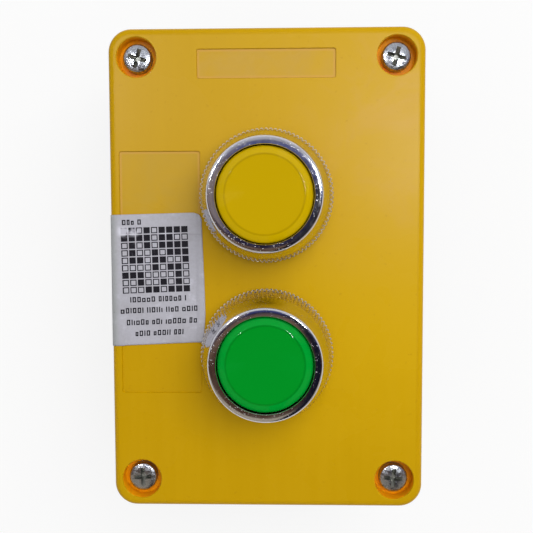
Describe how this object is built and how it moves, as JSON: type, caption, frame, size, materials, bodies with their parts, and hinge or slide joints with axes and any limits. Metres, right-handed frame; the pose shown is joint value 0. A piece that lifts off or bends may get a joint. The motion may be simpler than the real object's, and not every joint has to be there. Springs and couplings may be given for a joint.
{
  "type": "pushbutton station",
  "caption": "Yellow plastic enclosure with a flush yellow and a flush green momentary push button in knurled chrome bezels.",
  "frame": {"origin": "centre of the enclosure's flat back face, which the part lies on", "axes": "+Z out of the front face, along the buttons' travel; +Y along the longest side, from the green button to the yellow one and the nameplate recess"},
  "size_m": [0.069, 0.1058, 0.0663],
  "materials": {
    "lid_plastic": "smooth semi-gloss amber-yellow moulded plastic, lightly scuffed",
    "base_plastic": "dark grey moulded plastic",
    "yellow_cap": "glossy lemon-yellow plastic",
    "green_cap": "glossy green plastic",
    "chrome": "bright chrome plating on a knurled and turned bezel",
    "zinc": "zinc-plated steel, dull silver",
    "brass": "plain brass contact parts",
    "rubber": "black rubber",
    "inner_plastic": "black moulded plastic",
    "pusher_plastic": "green moulded plastic"
  },
  "bodies": {
    "root": {"base": "base_plastic", "lid_gasket": "rubber", "lid": "lid_plastic", "lid_screw_1": "zinc", "lid_screw_2": "zinc", "lid_screw_3": "zinc", "lid_screw_4": "zinc", "yellow_bezel": "chrome", "yellow_panel_gasket": "rubber", "yellow_plunger_seal": "rubber", "yellow_mounting_collar": "zinc", "yellow_collar_screw_1": "zinc", "yellow_collar_screw_2": "zinc", "yellow_contact_housing": "inner_plastic", "yellow_contact_cover": "inner_plastic", "yellow_contact_fixing_screw": "zinc", "yellow_terminal_1": "brass", "yellow_terminal_2": "brass", "yellow_terminal_screw_1": "zinc", "yellow_terminal_screw_2": "zinc", "yellow_terminal_clamp_1": "zinc", "yellow_terminal_clamp_2": "zinc", "green_bezel": "chrome", "green_panel_gasket": "rubber", "green_plunger_seal": "rubber", "green_mounting_collar": "zinc", "green_collar_screw_1": "zinc", "green_collar_screw_2": "zinc", "green_contact_housing": "inner_plastic", "green_contact_cover": "inner_plastic", "green_contact_fixing_screw": "zinc", "green_terminal_1": "brass", "green_terminal_2": "brass", "green_terminal_screw_1": "zinc", "green_terminal_screw_2": "zinc", "green_terminal_clamp_1": "zinc", "green_terminal_clamp_2": "zinc"},
    "yellow_button": {"yellow_cap": "yellow_cap", "yellow_plunger": "inner_plastic", "yellow_actuator": "inner_plastic", "yellow_return_spring": "zinc"},
    "yellow_contact": {"yellow_contact_pusher": "pusher_plastic", "yellow_contact_bridge": "brass", "yellow_contact_spring": "zinc"},
    "green_button": {"green_cap": "green_cap", "green_plunger": "inner_plastic", "green_actuator": "inner_plastic", "green_return_spring": "zinc"},
    "green_contact": {"green_contact_pusher": "pusher_plastic", "green_contact_bridge": "brass", "green_contact_spring": "zinc"}
  },
  "joints": [
    {"name": "yellow_button_press", "type": "slide", "parent": "root", "child": "yellow_button", "axis": [0, 0, -1], "range_m": [0, 0.0043], "stiffness_N_per_m": 450, "springref_m": -0.004, "deforming": ["yellow_return_spring"]},
    {"name": "yellow_contact_press", "type": "slide", "parent": "root", "child": "yellow_contact", "axis": [0, 0, -1], "range_m": [0, 0.0043], "stiffness_N_per_m": 150, "springref_m": -0.002, "deforming": ["yellow_contact_spring"]},
    {"name": "green_button_press", "type": "slide", "parent": "root", "child": "green_button", "axis": [0, 0, -1], "range_m": [0, 0.0043], "stiffness_N_per_m": 450, "springref_m": -0.004, "deforming": ["green_return_spring"]},
    {"name": "green_contact_press", "type": "slide", "parent": "root", "child": "green_contact", "axis": [0, 0, -1], "range_m": [0, 0.0043], "stiffness_N_per_m": 150, "springref_m": -0.002, "deforming": ["green_contact_spring"]}
  ],
  "couplings": [
    {"joint": "yellow_contact_press", "follows": "yellow_button_press", "ratio": 1},
    {"joint": "green_contact_press", "follows": "green_button_press", "ratio": 1}
  ]
}
